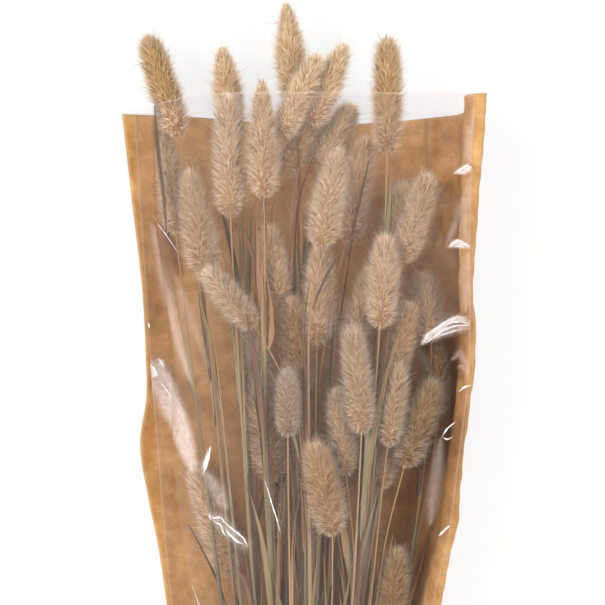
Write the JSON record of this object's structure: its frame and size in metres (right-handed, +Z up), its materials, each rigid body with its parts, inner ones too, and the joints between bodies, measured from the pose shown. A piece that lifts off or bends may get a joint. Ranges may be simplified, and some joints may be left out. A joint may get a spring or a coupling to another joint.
{
  "type": "bundle of dried bunny tail grass in a sleeve",
  "caption": "Bundle of dried bunny tail grass with soft oval heads on thin stems, tied at the foot and lying in a tapered sleeve of kraft paper and clear film.",
  "frame": {"origin": "middle of the bundle's footprint, on the floor under the paper back", "axes": "+Y along the bundle towards the heads, +X across it to the right seen from above, +Z up through the film front"},
  "size_m": [0.1859, 0.6252, 0.0563],
  "materials": {
    "kraft_paper": "matte",
    "clear_film": "gloss",
    "dried_stalk": "matte",
    "dried_leaf": "matte",
    "elastic_band": "satin"
  },
  "bodies": {
    "root": {"sleeve_back": "kraft_paper", "sleeve_front": "clear_film", "stem_tie": "elastic_band", "stalk_01": "dried_stalk", "stalk_02": "dried_stalk", "stalk_03": "dried_stalk", "stalk_04": "dried_stalk", "stalk_05": "dried_stalk", "stalk_06": "dried_stalk", "stalk_07": "dried_stalk", "stalk_08": "dried_stalk", "stalk_09": "dried_stalk", "stalk_10": "dried_stalk", "stalk_11": "dried_stalk", "stalk_12": "dried_stalk", "stalk_13": "dried_stalk", "stalk_14": "dried_stalk", "stalk_15": "dried_stalk", "stalk_16": "dried_stalk", "stalk_17": "dried_stalk", "stalk_18": "dried_stalk", "stalk_19": "dried_stalk", "stalk_20": "dried_stalk", "stalk_21": "dried_stalk", "stalk_22": "dried_stalk", "stalk_23": "dried_stalk", "stalk_24": "dried_stalk", "stalk_25": "dried_stalk", "stalk_26": "dried_stalk", "stalk_27": "dried_stalk", "stalk_28": "dried_stalk", "stalk_29": "dried_stalk", "stalk_30": "dried_stalk", "stalk_31": "dried_stalk", "stalk_32": "dried_stalk", "stalk_33": "dried_stalk", "stalk_34": "dried_stalk", "stalk_35": "dried_stalk", "stalk_36": "dried_stalk", "stalk_37": "dried_stalk", "stalk_38": "dried_stalk", "stalk_39": "dried_stalk", "stalk_40": "dried_stalk", "leaf_blade_01": "dried_leaf", "leaf_blade_02": "dried_leaf", "leaf_blade_03": "dried_leaf", "leaf_blade_04": "dried_leaf", "leaf_blade_05": "dried_leaf", "leaf_blade_06": "dried_leaf", "leaf_blade_07": "dried_leaf", "leaf_blade_08": "dried_leaf", "leaf_blade_09": "dried_leaf", "leaf_blade_10": "dried_leaf", "leaf_blade_11": "dried_leaf", "leaf_blade_12": "dried_leaf", "leaf_blade_13": "dried_leaf", "leaf_blade_14": "dried_leaf", "leaf_blade_15": "dried_leaf"}
  },
  "joints": []
}
